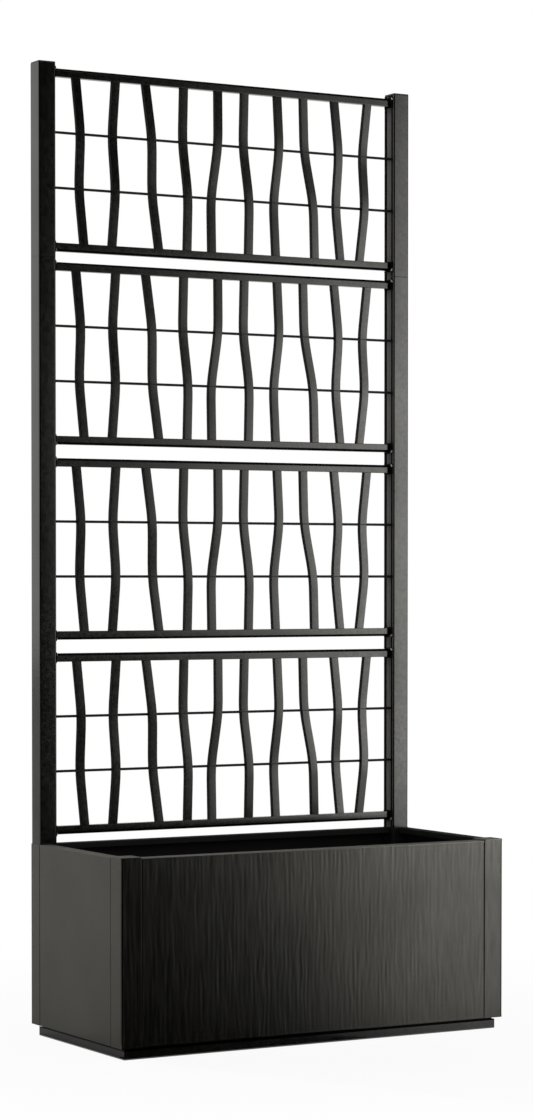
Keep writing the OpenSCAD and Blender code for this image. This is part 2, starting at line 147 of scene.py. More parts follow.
plinth_coat = powder_coat("plinth_satin_black", PLINTH_COLOUR, metallic=1.0, roughness=SATIN)
tree = plinth_coat.node_tree
place = add_node(tree, "ShaderNodeTexCoord").outputs["Object"]
level = add_node(tree, "ShaderNodeSeparateXYZ", {"Vector": place}).outputs["Z"]
# Painted shade: the colour fades to black from just under the step upwards
plinth_shade_fade = add_node(tree, "ShaderNodeMapRange", {"Value": level, "From Min": SHADE_FADE_FROM, "From Max": SHADE_FADE_TO,
                                             "To Min": 1.0, "To Max": SHADE_BLACK_SHARE})
scale_colour(plinth_coat, plinth_shade_fade.outputs["Result"])
for node in ("plinth_front", "plinth_rear", "plinth_left", "plinth_right"):
    finish_node(node, plinth_coat)

# Floor
# One steel plate with drain holes, which lies on the panels' bottom folds and is notched round the columns
# and the posts. Inside, the box is matt black all over, which is painted shade.
INSIDE_SHADE_COLOUR = (0.012, 0.0118, 0.0115)

# Painted shade: this matt black stands for the shade inside the box and on what stands in it
inside_shade_coat = powder_coat("inside_matt_black_shade", INSIDE_SHADE_COLOUR, metallic=0.0, roughness=0.7, shine=0.03)
finish_node("floor_panel", inside_shade_coat)

# Side and rear panels
# Each is a tray folded from 1.5 mm sheet: an inward lip with a return along the top, a wider fold along the
# bottom that carries the floor, and short folded ends. The outside has the satin graphite powder coat.
GRAPHITE_COLOUR = (0.113, 0.1096, 0.0945)
SHEET = 0.0015
FOLD_RADIUS = 0.0012
LIP = 0.025
LIP_RETURN = 0.010
BOTTOM_FOLD = 0.030
END_FOLD = 0.012
END_RELIEF = 0.003
TOUCH = 0.0001
SMOOTH_UP_TO = 35


def only(piece):
    """Selects one piece and nothing else."""
    bpy.ops.object.select_all(action="DESELECT")
    piece.select_set(True)
    bpy.context.view_layer.objects.active = piece


def take_shape(name, size):
    """Names the primitive that was just added and gives it its size."""
    piece = bpy.context.object
    piece.name = piece.data.name = name
    piece.scale = size
    bpy.ops.object.transform_apply(location=True, rotation=True, scale=True)
    return piece


def edit_piece(piece, mode):
    """Opens a piece for editing, with nothing on it selected."""
    only(piece)
    bpy.ops.object.mode_set(mode="EDIT")
    bpy.ops.mesh.select_mode(type=mode)
    bpy.ops.mesh.select_all(action="DESELECT")


def pick_faces(piece, test):
    """Selects the faces whose centre and normal pass the test, and no others."""
    bpy.ops.mesh.select_mode(type="FACE")
    bpy.ops.mesh.select_all(action="DESELECT")
    mesh = bmesh.from_edit_mesh(piece.data)
    mesh.normal_update()
    for face in mesh.faces:
        if test(face.calc_center_median(), face.normal):
            face.select_set(True)
    bmesh.update_edit_mesh(piece.data)


def pick_edges(piece, test):
    """Selects the edges whose two ends pass the test, and no others."""
    bpy.ops.mesh.select_mode(type="EDGE")
    bpy.ops.mesh.select_all(action="DESELECT")
    mesh = bmesh.from_edit_mesh(piece.data)
    for edge in mesh.edges:
        if test(edge.verts[0].co, edge.verts[1].co):
            edge.select_set(True)
    bmesh.update_edit_mesh(piece.data)


def extrude_by(x, y, z):
    bpy.ops.mesh.extrude_region_move(TRANSFORM_OT_translate={"value": (x, y, z)})


def cut_at(axis, places):
    """Cuts everything across at each place along an axis."""
    for place in places:
        bpy.ops.mesh.select_all(action="SELECT")
        point, normal = [0, 0, 0], [0, 0, 0]
        point[axis] = place
        normal[axis] = 1
        bpy.ops.mesh.bisect(plane_co=point, plane_no=normal)


def near(value, *places):
    """Whether a value lies at every one of the places given."""
    return all(abs(value - place) < TOUCH for place in places)


def put(piece, location, turn=0.0, tilt=0.0):
    """Leaves edit mode and puts a piece in its place, with that place in its mesh."""
    if piece.mode == "EDIT":
        bpy.ops.object.mode_set(mode="OBJECT")
    piece.location = location
    piece.rotation_euler = (tilt, 0, turn)
    only(piece)
    bpy.ops.object.transform_apply(location=True, rotation=True, scale=True)


def apply_modifier(piece, kind, **settings):
    modifier = piece.modifiers.new(kind.title(), kind)
    for name, value in settings.items():
        setattr(modifier, name, value)
    bpy.context.view_layer.objects.active = piece
    bpy.ops.object.modifier_apply(modifier=modifier.name)


def smooth(piece):
    """Smooth shading across rounded edges only, with flat faces kept flat."""
    only(piece)
    bpy.ops.object.shade_smooth_by_angle(angle=math.radians(SMOOTH_UP_TO))
    apply_modifier(piece, "WEIGHTED_NORMAL", keep_sharp=True)


def folded_tray(name, length, height, columns=1, rows=1, press=None):
    """A sheet tray with its outer face on y = 0, y inwards and its bottom at z = 0."""
    bpy.ops.object.select_all(action="DESELECT")
    bpy.ops.mesh.primitive_grid_add(x_subdivisions=columns, y_subdivisions=rows, size=1,
                                    rotation=(math.pi / 2, 0, 0), location=(0, 0, height / 2))
    tray = take_shape(name, (length, height, 1))
    half = length / 2
    edit_piece(tray, "EDGE")
    cut_at(2, [END_RELIEF, height - END_RELIEF])
    if press:
        mesh = bmesh.from_edit_mesh(tray.data)
        for vert in mesh.verts:
            vert.co.y += press(vert.co.x, vert.co.z, half, height)
        bmesh.update_edit_mesh(tray.data)

    def at_top(a, b):
        return near(height, a.z, b.z)

    def at_bottom(a, b):
        return near(0, a.z, b.z)

    def at_end(a, b):
        """An edge of the outer face's end, clear of the relief at its corners."""
        return (near(half, abs(a.x)) and near(a.x, b.x) and min(a.z, b.z) > END_RELIEF / 2
                and max(a.z, b.z) < height - END_RELIEF / 2)

    pick_edges(tray, at_top)
    extrude_by(0, LIP, 0)
    extrude_by(0, 0, -LIP_RETURN)
    pick_edges(tray, at_bottom)
    extrude_by(0, BOTTOM_FOLD, 0)
    for side in (-1, 1):
        pick_edges(tray, lambda a, b: near(0, a.y, b.y) and side * a.x > 0 and at_end(a, b))
        extrude_by(0, END_FOLD, 0)
    pick_edges(tray, lambda a, b: near(0, a.y, b.y) and (at_top(a, b) or at_bottom(a, b) or at_end(a, b))
               or near(LIP, a.y, b.y) and at_top(a, b))
    bpy.ops.mesh.bevel(offset=FOLD_RADIUS, segments=3)
    bpy.ops.mesh.select_all(action="SELECT")
    bpy.ops.mesh.normals_make_consistent(inside=False)
    mesh = bmesh.from_edit_mesh(tray.data)
    if sum(face.normal.y for face in mesh.faces if abs(face.calc_center_median().y) < FOLD_RADIUS) > 0:
        bpy.ops.mesh.flip_normals()
    bpy.ops.object.mode_set(mode="OBJECT")
    return tray


def give_coats(piece, *coats):
    """Gives a new piece its materials, one to a slot."""
    for coat in coats:
        piece.data.materials.append(coat)


def paint(piece, slot, test):
    """Gives the faces whose centre and normal pass the test the material in that slot. A face looks one way where
    its normal's part along that way is near 1."""
    for face in piece.data.polygons:
        if test(face.center, face.normal):
            face.material_index = slot


graphite = powder_coat("satin_graphite", GRAPHITE_COLOUR, metallic=1.0, roughness=SATIN)
lip_coat = powder_coat("matt_graphite", GRAPHITE_COLOUR, metallic=0.0, roughness=0.7, shine=0.1)
for node, turn in (("left_panel", -math.pi / 2), ("right_panel", math.pi / 2), ("rear_panel", math.pi)):
    low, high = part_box(node)
    along_x = node == "rear_panel"
    panel = folded_tray(node + "_sheet", high.x - low.x if along_x else high.y - low.y, high.z - low.z)
    give_coats(panel, graphite, inside_shade_coat, lip_coat)
    # The sheet's inner side gets the matt black painted shade
    apply_modifier(panel, "SOLIDIFY", thickness=SHEET, offset=-1, use_quality_normals=True, material_offset=1)
    middle = (low + high) / 2
    edge = {"left_panel": low.x, "right_panel": high.x}.get(node, middle.x)
    put(panel, (edge, high.y if along_x else middle.y, low.z), turn)
    # The lips of the rear and right panels are painted black as shade, and the left one's is grey
    if along_x:
        paint(panel, 1, lambda c, n: n.z > 0.9 or n.y < -0.3)
    elif node == "right_panel":
        paint(panel, 1, lambda c, n: n.x < -0.3 or n.z > 0.9)
    else:
        paint(panel, 2, lambda c, n: n.z > 0.6)
    smooth(panel)
    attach(panel, "root")
    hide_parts(node)

# Front panel
# The same tray, from sheet that was rolled with a wood grain: fine upright furrows some 9 mm apart, which wander
# a little, fade in and out and are deeper along the bottom. The coat is a shade darker and rougher in some streaks.
GRAIN_DEPTH = 0.00009
GRAIN_FOOT = 3.0
GRAIN_FOOT_HEIGHT = 0.20
GRAIN_PITCH = 0.0088
# Shares of the furrows and of the broad streaks in the depth
RIDGE_SHARE, BROAD_SHARE = 0.28, 0.65
# How far the furrows wander sideways, slowly and quickly
SLOW_WANDER, QUICK_WANDER = 0.0035, 0.0036
# Noises of the grain: the scale across the front, the scale up it, and a layer of the noise for each
SLOW, QUICK, FADING, BROAD = (9, 5, 3.1), (55, 22, 11.3), (42, 24, 41.9), (175, 21, 7.7)
GRAIN_COLUMN = 0.0015
GRAIN_ROWS = 56
GRAIN_FADE = 0.004
STREAK_SCALE = (190, 40, 19)
STREAK_TONE = 0.13
STREAK_GLOSS = 0.05
FRONT_COLOUR = (0.122, 0.1194, 0.108)


def ripple(x, z, kind):
    """Smooth noise of a kind, from -1 to 1, at a place on the front."""
    across, up, layer = kind
    return noise.noise(Vector((x * across, z * up, layer)))


def grain(x, z):
    """Depth of the pressed furrows at a place on the front: 0 to 1, and up to GRAIN_FOOT along the bottom."""
    x += SLOW_WANDER * ripple(x, z, SLOW) + QUICK_WANDER * ripple(x, z, QUICK)
    ridge = math.sin(2 * math.pi * x / GRAIN_PITCH) * (0.5 + ripple(x, z, FADING))
    broad = ripple(x, z, BROAD)
    foot = 1 + (GRAIN_FOOT - 1) * max(0, 1 - z / GRAIN_FOOT_HEIGHT)
    return foot * min(1, max(0, 0.5 + RIDGE_SHARE * ridge + BROAD_SHARE * broad))


def pressed(x, z, inset):
    """How deep the sheet is pressed at a place. It fades out over the last GRAIN_FADE before an inset of 0."""
    return GRAIN_DEPTH * grain(x, z) * min(1, max(0, inset / GRAIN_FADE))


grained = powder_coat("grained_graphite", FRONT_COLOUR, metallic=1.0, roughness=SATIN)
tree = grained.node_tree
place = add_node(tree, "ShaderNodeTexCoord").outputs["Object"]
stretched = add_node(tree, "ShaderNodeMapping", {"Vector": place, "Scale": STREAK_SCALE}).outputs["Vector"]
streak = add_node(tree, "ShaderNodeTexNoise", {"Vector": stretched, "Scale": 1, "Detail": 2}).outputs["Fac"]
scale_colour(grained, spread(tree, streak, 1 + STREAK_TONE, 1 - STREAK_TONE))
tree.links.new(spread(tree, streak, SATIN - STREAK_GLOSS, SATIN + STREAK_GLOSS),
               tree.nodes["Principled BSDF"].inputs["Roughness"])
low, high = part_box("front_panel")
front = folded_tray("front_panel_sheet", high.x - low.x, high.z - low.z,
                    round((high.x - low.x) / GRAIN_COLUMN), GRAIN_ROWS,
                    lambda x, z, half, height: pressed(x, z, min(half - abs(x), z, height - z)))
give_coats(front, grained, inside_shade_coat, lip_coat)
# The sheet's inner side gets the matt black painted shade
apply_modifier(front, "SOLIDIFY", thickness=SHEET, offset=-1, use_quality_normals=True, material_offset=1)
put(front, ((low.x + high.x) / 2, low.y, low.z))
paint(front, 2, lambda c, n: n.z > 0.6)
smooth(front)
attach(front, "root")
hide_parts("front_panel")

# Front columns
# A square tube of 1.5 mm steel at each front corner, with two tongues behind the panels' folded ends, which
# the panel screws go through. Their front faces have the front panel's wood grain.
COLUMN_WALL = 0.0015
COLUMN_RADIUS = 0.0045
COLUMN_EDGE = 0.0004
TONGUE = 0.022
TONGUE_NEAR = 0.012
TONGUE_FAR = 0.014
TONGUE_CLEAR = 0.008


def upright(a, b):
    """Whether an edge runs along Z."""
    return near(a.x, b.x) and near(a.y, b.y)


def round_edges(piece, radius, steps, test):
    """Rounds the edges whose two ends pass the test."""
    pick_edges(piece, test)
    bpy.ops.mesh.bevel(offset=radius, segments=steps)


def section_length(name, width, depth, length, cuts_x, cuts_y, is_open):
    """A length of rolled or folded section. It starts as a plane across the section, cut along the section's
    lines, with the open cells deleted, and is drawn out along Z."""
    bpy.ops.object.select_all(action="DESELECT")
    bpy.ops.mesh.primitive_plane_add(size=1, location=(width / 2, depth / 2, 0))
    piece = take_shape(name, (width, depth, 1))
    edit_piece(piece, "FACE")
    cut_at(0, cuts_x)
    cut_at(1, cuts_y)
    pick_faces(piece, lambda centre, normal: is_open(centre.x, centre.y))
    bpy.ops.mesh.delete(type="FACE")
    bpy.ops.mesh.select_all(action="SELECT")
    bpy.ops.mesh.dissolve_limited(angle_limit=math.radians(1))
    bpy.ops.mesh.select_all(action="SELECT")
    extrude_by(0, 0, length)
    bpy.ops.mesh.select_all(action="SELECT")
    bpy.ops.mesh.normals_make_consistent(inside=False)
    return piece


for name, side in (("left", -1), ("right", 1)):
    node = "front_" + name + "_column"
    low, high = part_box(node + "_cap")
    width = high.x - low.x
    bottom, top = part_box(node)[0].z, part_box(node)[1].z
    height = top - bottom
    column = section_length(node + "_tube", width, width, height, [COLUMN_WALL, width - COLUMN_WALL],
                            [COLUMN_WALL, width - COLUMN_WALL],
                            lambda x, y: max(abs(x - width / 2), abs(y - width / 2)) < width / 2 - COLUMN_WALL)
    cut_at(2, [TONGUE_CLEAR, height - TONGUE_CLEAR])
    cut_at(1, [TONGUE_NEAR, TONGUE_FAR])
    inner = width if side < 0 else 0
    pick_faces(column, lambda c, n: near(c.x, inner) and TONGUE_NEAR < c.y < TONGUE_FAR
               and TONGUE_CLEAR < c.z < height - TONGUE_CLEAR)
    extrude_by(-side * TONGUE, 0, 0)
    near_x, far_x = sorted(width / 2 + side * (width / 2 - inset) for inset in (TONGUE_NEAR, TONGUE_FAR))
    cut_at(0, [near_x, far_x])
    pick_faces(column, lambda c, n: near(c.y, width) and near_x < c.x < far_x
               and TONGUE_CLEAR < c.z < height - TONGUE_CLEAR)
    extrude_by(0, TONGUE, 0)
    columns = round(width / GRAIN_COLUMN)
    cut_at(0, [width * i / columns for i in range(2, columns - 1)])
    cut_at(2, [height * i / GRAIN_ROWS for i in range(1, GRAIN_ROWS)])
    mesh = bmesh.from_edit_mesh(column.data)
    for vert in mesh.verts:
        if near(vert.co.y, 0):
            vert.co.y += pressed(vert.co.x + low.x - GRAIN_FADE, vert.co.z,
                                 min(vert.co.x, width - vert.co.x) - COLUMN_RADIUS)
    bmesh.update_edit_mesh(column.data)
    outer = width - inner
    round_edges(column, COLUMN_RADIUS, 4, lambda a, b: upright(a, b) and near(a.x, outer) and near(a.y, 0))
    round_edges(column, COLUMN_EDGE, 2, lambda a, b: upright(a, b) and (
        near(a.x, inner) and near(a.y, 0) or near(a.x, outer) and near(a.y, width)))
    put(column, (low.x, low.y, bottom))
    give_coats(column, graphite, inside_shade_coat, grained)
    # Painted shade: the column's faces inside the box are matt black
    paint(column, 1, lambda c, n: n.y > 0.9 or n.x * side < -0.9)
    paint(column, 2, lambda c, n: n.y < -0.7)
    smooth(column)
    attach(column, "root")
    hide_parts(node)

# Column caps
# A flat steel cap on each front column, a little above the panels, with its edges and corners rounded. A plug
# under it is pressed into the tube.
CAP_CORNER = 0.0025
CAP_EDGE = 0.0007


def capped(name, low, high, corner, edge):
    """A flat cap with rounded upright corners and a softer rounding along its top edge."""
    bpy.ops.object.select_all(action="DESELECT")
    bpy.ops.mesh.primitive_cube_add(size=1, location=(low + high) / 2)
    cap = take_shape(name, high - low)
    edit_piece(cap, "EDGE")
    round_edges(cap, corner, 4, upright)
    round_edges(cap, edge, 2, lambda a, b: near(high.z, a.z, b.z))
    bpy.ops.object.mode_set(mode="OBJECT")
    smooth(cap)
    return cap


for name in ("left", "right"):
    node = "front_" + name + "_column_cap"
    low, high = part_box(node)
    low.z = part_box("front_" + name + "_column")[1].z
    cap = capped(node + "_plate", low, high, CAP_CORNER, CAP_EDGE)
    give_coats(cap, graphite, lip_coat)
    paint(cap, 1, lambda c, n: n.z > 0.6)
    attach(cap, "root")
    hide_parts(node)

# Rear corner covers
# A thin angle of powder coated steel sheet, bonded round the foot of each post. It closes the box's rear corner
# and stands half a millimetre above the panels.
COVER = 0.0012
COVER_RADIUS = 0.0016

for name, side in (("left", -1), ("right", 1)):
    node = "rear_" + name + "_cover"
    low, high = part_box(node)
    height = high.z - low.z
    outer_x, inner_x = (low.x, high.x) if side < 0 else (high.x, low.x)
    bpy.ops.object.select_all(action="DESELECT")
    bpy.ops.mesh.primitive_plane_add(size=1, rotation=(math.pi / 2, 0, 0),
                                     location=((outer_x + inner_x) / 2, high.y, low.z + height / 2))
    cover = take_shape(node + "_angle", (high.x - low.x, height, 1))
    edit_piece(cover, "EDGE")
    pick_edges(cover, lambda a, b: near(outer_x, a.x, b.x))
    extrude_by(0, low.y - high.y, 0)
    round_edges(cover, COVER_RADIUS, 3, lambda a, b: near(outer_x, a.x, b.x) and near(high.y, a.y, b.y))
    bpy.ops.mesh.select_all(action="SELECT")
    bpy.ops.mesh.normals_make_consistent(inside=False)
    mesh = bmesh.from_edit_mesh(cover.data)
    if sum(face.normal.y for face in mesh.faces if near(face.calc_center_median().y, high.y)) < 0:
        bpy.ops.mesh.flip_normals()
    bpy.ops.object.mode_set(mode="OBJECT")
    give_coats(cover, graphite, inside_shade_coat)
    # The angle's inner side gets the matt black painted shade
    apply_modifier(cover, "SOLIDIFY", thickness=COVER, offset=-1, use_quality_normals=True, material_offset=1)
    smooth(cover)
    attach(cover, "root")
    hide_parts(node)

# Trellis posts
# Square aluminium section with a channel in its inner face for the ends of the rails. Each post is in two
# lengths, tapered a little where they meet and joined by a sleeve inside. The lower one runs down inside the box's
# rear corner to the plinth.
POST_COLOUR = (0.082, 0.081, 0.077)
POST_WALL = 0.0015
POST_RADIUS = 0.0030
POST_EDGE = 0.0010
CHANNEL_WIDTH = 0.015
CHANNEL_DEPTH = 0.008
MOUTH_RADIUS = 0.0005
JOINT_TAPER = 0.0005
JOINT_SCALE = 0.975
SHADE_COLOUR = (0.0045, 0.0044, 0.0042)
CHANNEL_LIGHT_COLOUR = (0.26, 0.256, 0.246)

post_coat = powder_coat("post_graphite", POST_COLOUR, metallic=1.0, roughness=SATIN)
# Painted light: a pale grey in the posts' channel stands for light falling into it
channel_light_coat = powder_coat("channel_painted_light", CHANNEL_LIGHT_COLOUR, metallic=0.0, roughness=0.6, shine=0.3)
# Matt black, for the black collar plates and as painted shade on the posts' lands and the rails' steps
shade_coat = powder_coat("matt_black_and_painted_shade", SHADE_COLOUR, metallic=0.0, roughness=0.6, shine=0.01)

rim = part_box("rear_panel")[1].z
for node in ("left_lower_post", "left_upper_post", "right_lower_post", "right_upper_post"):
    side = -1 if node.startswith("left") else 1
    low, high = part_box(node)
    width = high.x - low.x
    land = (width - CHANNEL_WIDTH) / 2
    back = width - CHANNEL_DEPTH

    def is_open(x, y):
        """The section as on the left: its inner face at x = width."""
        in_channel = x > back and abs(y - width / 2) < CHANNEL_WIDTH / 2
        by_channel = x > back - POST_WALL and abs(y - width / 2) < CHANNEL_WIDTH / 2 + POST_WALL
        in_tube = max(abs(x - width / 2), abs(y - width / 2)) < width / 2 - POST_WALL
        return in_channel or (in_tube and not by_channel)

    post = section_length(node + "_section", width, width, high.z - low.z,
                          [POST_WALL, back - POST_WALL, back, width - POST_WALL],
                          [POST_WALL, land - POST_WALL, land, width - land, width - land + POST_WALL,
                           width - POST_WALL], is_open)
    round_edges(post, POST_RADIUS, 3, lambda a, b: upright(a, b) and near(a.y, 0)
                and (near(a.x, 0) or near(a.x, width)))
    round_edges(post, POST_EDGE, 2, lambda a, b: upright(a, b) and near(a.y, width)
                and (near(a.x, 0) or near(a.x, width)))
    round_edges(post, MOUTH_RADIUS, 2, lambda a, b: upright(a, b) and near(a.x, width)
                and near(abs(a.y - width / 2), CHANNEL_WIDTH / 2))
    joint, taper = (high.z - low.z, -JOINT_TAPER) if low.z < rim else (0, JOINT_TAPER)
    cut_at(2, [joint + taper] + ([rim - low.z] if low.z < rim else []))
    pick_edges(post, lambda a, b: near(joint, a.z, b.z))
    bpy.ops.transform.resize(value=(JOINT_SCALE, JOINT_SCALE, 1), center_override=(width / 2, width / 2, joint))
    if side > 0:
        bpy.ops.mesh.select_all(action="SELECT")
        bpy.ops.transform.mirror(constraint_axis=(True, False, False), center_override=(width / 2, 0, 0))
        bpy.ops.mesh.normals_make_consistent(inside=False)
    put(post, low)
    give_coats(post, post_coat, shade_coat, channel_light_coat, inside_shade_coat)
    inner = low.x if side > 0 else high.x
    middle_y = (low.y + high.y) / 2
    # Painted shade: the lands beside the channel on the post's inner face are matt black
    paint(post, 1, lambda c, n: n.x * side < -0.5 and abs(c.x - inner) < POST_RADIUS
          and (near(c.x, inner) or c.y > middle_y))
    # Painted light: the channel's walls and floor get the pale grey
    paint(post, 2, lambda c, n: abs(c.y - middle_y) < CHANNEL_WIDTH / 2 + TOUCH
          and MOUTH_RADIUS < abs(c.x - inner) < CHANNEL_DEPTH + TOUCH and abs(n.z) < 0.5)
    # Painted shade: the post's faces below the box's rim are matt black
    paint(post, 3, lambda c, n: c.z < rim)
    smooth(post)
    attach(post, "root")
    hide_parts(node)

# Post sleeves
# A short zinc plated steel tube inside each post, across the joint of its two lengths. Screws from the rear hold
# it in both.
ZINC_COLOUR = (0.55, 0.56, 0.57)

zinc = powder_coat("zinc_plating", ZINC_COLOUR, metallic=1.0, roughness=0.32)
for node in ("left_post_sleeve", "right_post_sleeve"):
    finish_node(node, zinc)

# Post caps
# A moulded black plastic cap on each post, 3 mm thick. It is pressed in, and the plug under it grips inside the
# section.
PLASTIC_COLOUR = (0.012, 0.012, 0.012)
POST_CAP = 0.003

plastic = powder_coat("black_plastic", PLASTIC_COLOUR, metallic=0.0, roughness=0.45)
for name in ("left", "right"):
    node = name + "_post_cap"
    low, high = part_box(node)
    low.z = high.z - POST_CAP
    cap = capped(node + "_moulding", low, high, POST_RADIUS, CAP_EDGE)
    give_coats(cap, plastic)
    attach(cap, "root")
    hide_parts(node)

# Trellis rails
# Small aluminium box section with a step along the outer front edge, whose faces are painted matt black as shade.
# A panel's two rails mirror each other, and their ends sit in the posts' channels.
RAIL_WALL = 0.0012
STEP_HEIGHT = 0.004
STEP_DEPTH = 0.004
RAIL_RADIUS = 0.0008
STEP_EDGE_BAND = 0.0005
TRELLIS_COLOUR = (0.074, 0.073, 0.069)
PANELS = (1, 2, 3, 4)

trellis_coat = powder_coat("trellis_graphite", TRELLIS_COLOUR, metallic=1.0, roughness=SATIN)
for k in PANELS:
    for place in ("top", "bottom"):
        node = "trellis_%d_%s_rail" % (k, place)
        low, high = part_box(node)
        depth, height, length = high.y - low.y, high.z - low.z, high.x - low.x
        step = height - STEP_HEIGHT

        def is_open(y, z):
            """The section of a top rail, its front at y = 0."""
            in_step = y < STEP_DEPTH and z > step
            by_step = y < STEP_DEPTH + RAIL_WALL and z > step - RAIL_WALL
            in_tube = abs(y - depth / 2) < depth / 2 - RAIL_WALL and abs(z - height / 2) < height / 2 - RAIL_WALL
            return in_step or (in_tube and not by_step)

        rail = section_length(node + "_section", depth, height, length,
                              [RAIL_WALL, STEP_DEPTH, STEP_DEPTH + RAIL_WALL, depth - RAIL_WALL],
                              [RAIL_WALL, step - RAIL_WALL, step, height - RAIL_WALL], is_open)
        round_edges(rail, RAIL_RADIUS, 2, lambda a, b: upright(a, b) and (
            near(a.x, 0) and (near(a.y, 0) or near(a.y, step))
            or near(a.x, depth) and (near(a.y, 0) or near(a.y, height))
            or near(a.x, STEP_DEPTH) and near(a.y, height)))
        if place == "bottom":
            bpy.ops.mesh.select_all(action="SELECT")
            bpy.ops.transform.mirror(constraint_axis=(False, True, False), center_override=(0, height / 2, 0))
            bpy.ops.mesh.normals_make_consistent(inside=False)
        put(rail, low, math.pi / 2, math.pi / 2)
        give_coats(rail, trellis_coat, shade_coat)
        outward = 1 if place == "top" else -1
        edge = high.z if place == "top" else low.z
        # Painted shade: the step's ledge and its recessed front face are matt black
        paint(rail, 1, lambda c, n: n.z * outward > 0.5 and c.y < low.y + STEP_DEPTH
              or n.y < -0.5 and abs(c.y - low.y - STEP_DEPTH) < STEP_EDGE_BAND and abs(c.z - edge) < STEP_HEIGHT)
        smooth(rail)
        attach(rail, "root")
        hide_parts(node)

# Trellis bars
# Ten flat bars in each panel, 16 by 9.5 mm, bent sideways at both cross rods so that they look like stems. Every
# other one passes to the rear at the lower rod and to the front at the upper rod, and the others the other way
# round. They are welded in between the rails.
BAR_WIDTH = 0.0160
BAR_DEPTH = 0.0095
BAR_RADIUS = 0.0010
BEND = 0.028
BEND_STEPS = 6
WEAVE = 0.003
ROD_INSET = 0.1175
# Sideways place of each bar, in millimetres from an even spacing: at the bottom edge, the lower rod, the upper
# rod and the top edge of its panel
BAR_SWAY = ((0, -10, -9, -19), (-10.5, -3, -7.5, -1), (24, 9.5, 7, -7.5), (16, 17, 8, 9), (2.5, 2.5, 15, 16),
            (16, 16.5, 6, 7), (10, 6, 16, 12), (30.5, 25.5, 8, 3), (22.5, 12, 16, 5.5), (-3.5, 9, 6, 17))
BAR_SIDE_SHADE_COLOUR = (0.012, 0.0118, 0.0113)

# Painted shade: a matt black for the bars' sideways faces
bar_side_shade_coat = powder_coat("bar_side_painted_shade", BAR_SIDE_SHADE_COLOUR, metallic=0.0, roughness=0.55, shine=0.03)
rail_low, rail_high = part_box("trellis_1_bottom_rail")
panel_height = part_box("trellis_1_top_rail")[1].z - rail_low.z
rail_height = rail_high.z - rail_low.z
post_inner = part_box("right_upper_post")[0].x
bar_middle = (rail_low.y + rail_high.y) / 2


def bar_line(offsets):
    """A bar's offset from its even place, by height above its panel's bottom edge, with soft bends at the rods."""
    heights = (0, ROD_INSET, panel_height - ROD_INSET, panel_height)
    slopes = [(offsets[i + 1] - offsets[i]) / (heights[i + 1] - heights[i]) for i in range(3)]
    line = {rail_height: offsets[0] + slopes[0] * rail_height}
    for i in (1, 2):
        for step in range(BEND_STEPS + 1):
            t = step / BEND_STEPS
            line[heights[i] + BEND * (2 * t - 1)] = (offsets[i] - slopes[i - 1] * BEND * (1 - t) ** 2
                                                     + slopes[i] * BEND * t ** 2)
    line[panel_height - rail_height] = offsets[3] - slopes[2] * rail_height
    return line


def wavy_bar(name, middle, sway, way):
    """One bar of the lowest panel: a cube cut at the bends, its rings moved and its long edges rounded."""
    foot = -way * WEAVE * rail_height / (ROD_INSET - rail_height)
    across = bar_line([offset / 1000 for offset in sway])
    back = bar_line([foot, way * WEAVE, -way * WEAVE, -foot])
    bpy.ops.object.select_all(action="DESELECT")
    bpy.ops.mesh.primitive_cube_add(size=1, location=(0, 0, panel_height / 2))
    bar = take_shape(name, (BAR_WIDTH, BAR_DEPTH, panel_height - 2 * rail_height))
    edit_piece(bar, "EDGE")
    cut_at(2, list(across)[1:-1])
    mesh = bmesh.from_edit_mesh(bar.data)
    for vert in mesh.verts:
        ring = min(across, key=lambda z: abs(z - vert.co.z))
        vert.co.x += across[ring]
        vert.co.y += back[ring]
    bmesh.update_edit_mesh(bar.data)
    round_edges(bar, BAR_RADIUS, 3, lambda a, b: not near(a.z, b.z))
    put(bar, (middle, bar_middle, rail_low.z))
    return bar


def joined(name, pieces):
    """Joins pieces into one, which gets the name."""
    bpy.ops.object.select_all(action="DESELECT")
    for piece in pieces:
        piece.select_set(True)
    bpy.context.view_layer.objects.active = pieces[0]
    bpy.ops.object.join()
    bpy.ops.object.transform_apply(location=True, rotation=True, scale=True)
    whole = bpy.context.object
    whole.name = whole.data.name = name
    return whole


def twin(piece):
    """A copy of a piece, with a mesh of its own."""
    copy = piece.copy()
    copy.data = piece.data.copy()
    bpy.context.collection.objects.link(copy)
    return copy


pitch = 2 * post_inner / (len(BAR_SWAY) + 1)
first_bars = joined("first_bars", [
    wavy_bar("wavy_bar_%d" % (i + 1), (i - (len(BAR_SWAY) - 1) / 2) * pitch, sway, (1, -1)[i % 2])
    for i, sway in enumerate(BAR_SWAY)])
give_coats(first_bars, trellis_coat, bar_side_shade_coat)
# Painted shade: the bars' sideways faces are matt black
paint(first_bars, 1, lambda c, n: abs(n.x) > 0.8)
smooth(first_bars)
sets = [first_bars] + [twin(first_bars) for k in PANELS[1:]]
for k, bars in zip(PANELS, sets):
    node = "trellis_%d_bars" % k
    put(bars, (0, 0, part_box(node)[0].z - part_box("trellis_1_bars")[0].z))
    bars.name = bars.data.name = node + "_set"
    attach(bars, "root")
    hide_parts(node)

# Cross rods
# Two 5 mm steel rods through each panel's bars, with their ends in the posts' channels. They are darker than
# the bars.
ROD_COLOUR = (0.018, 0.0177, 0.0172)

rod_coat = powder_coat("rod_dark", ROD_COLOUR, metallic=0.6, roughness=0.4)
for k in PANELS:
    finish_node("trellis_%d_rods" % k, rod_coat)

# Collars
# A thin moulded black plate round each end of each rail, which closes the post's channel there. Two small screws
# a plate hold it to the lands beside the channel.
COLLAR_THICK = 0.0015
COLLAR_DEPTH = 0.031
COLLAR_HEIGHT = 0.020
COLLAR_FIT = 0.0003
COLLAR_EDGE = 0.0004

